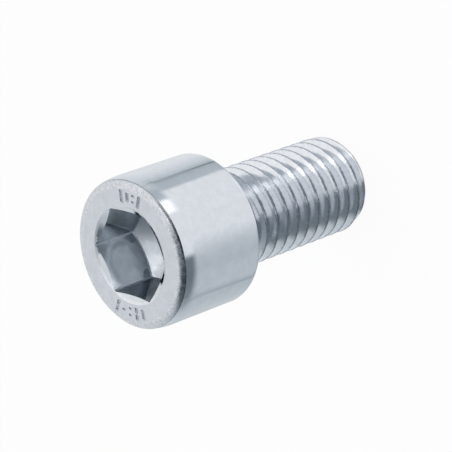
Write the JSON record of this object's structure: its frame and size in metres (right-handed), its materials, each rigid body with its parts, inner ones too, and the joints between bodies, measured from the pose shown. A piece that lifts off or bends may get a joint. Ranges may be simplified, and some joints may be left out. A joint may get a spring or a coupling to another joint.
{
  "type": "hexagon socket cylinder head screw",
  "caption": "Bright zinc plated cylinder head screw with a hexagon socket, a rounded head edge, a short plain neck and a metric thread to a chamfered end.",
  "frame": {"origin": "centre of the thread end's flat face, at the screw's foot", "axes": "+Z along the screw's axis, from the thread end to the head; +X towards a corner of the hexagon socket"},
  "size_m": [0.018, 0.018, 0.034],
  "materials": {
    "zinc_plated_steel": "bright zinc plate, satin"
  },
  "bodies": {
    "root": {"screw": "zinc_plated_steel"}
  },
  "joints": []
}
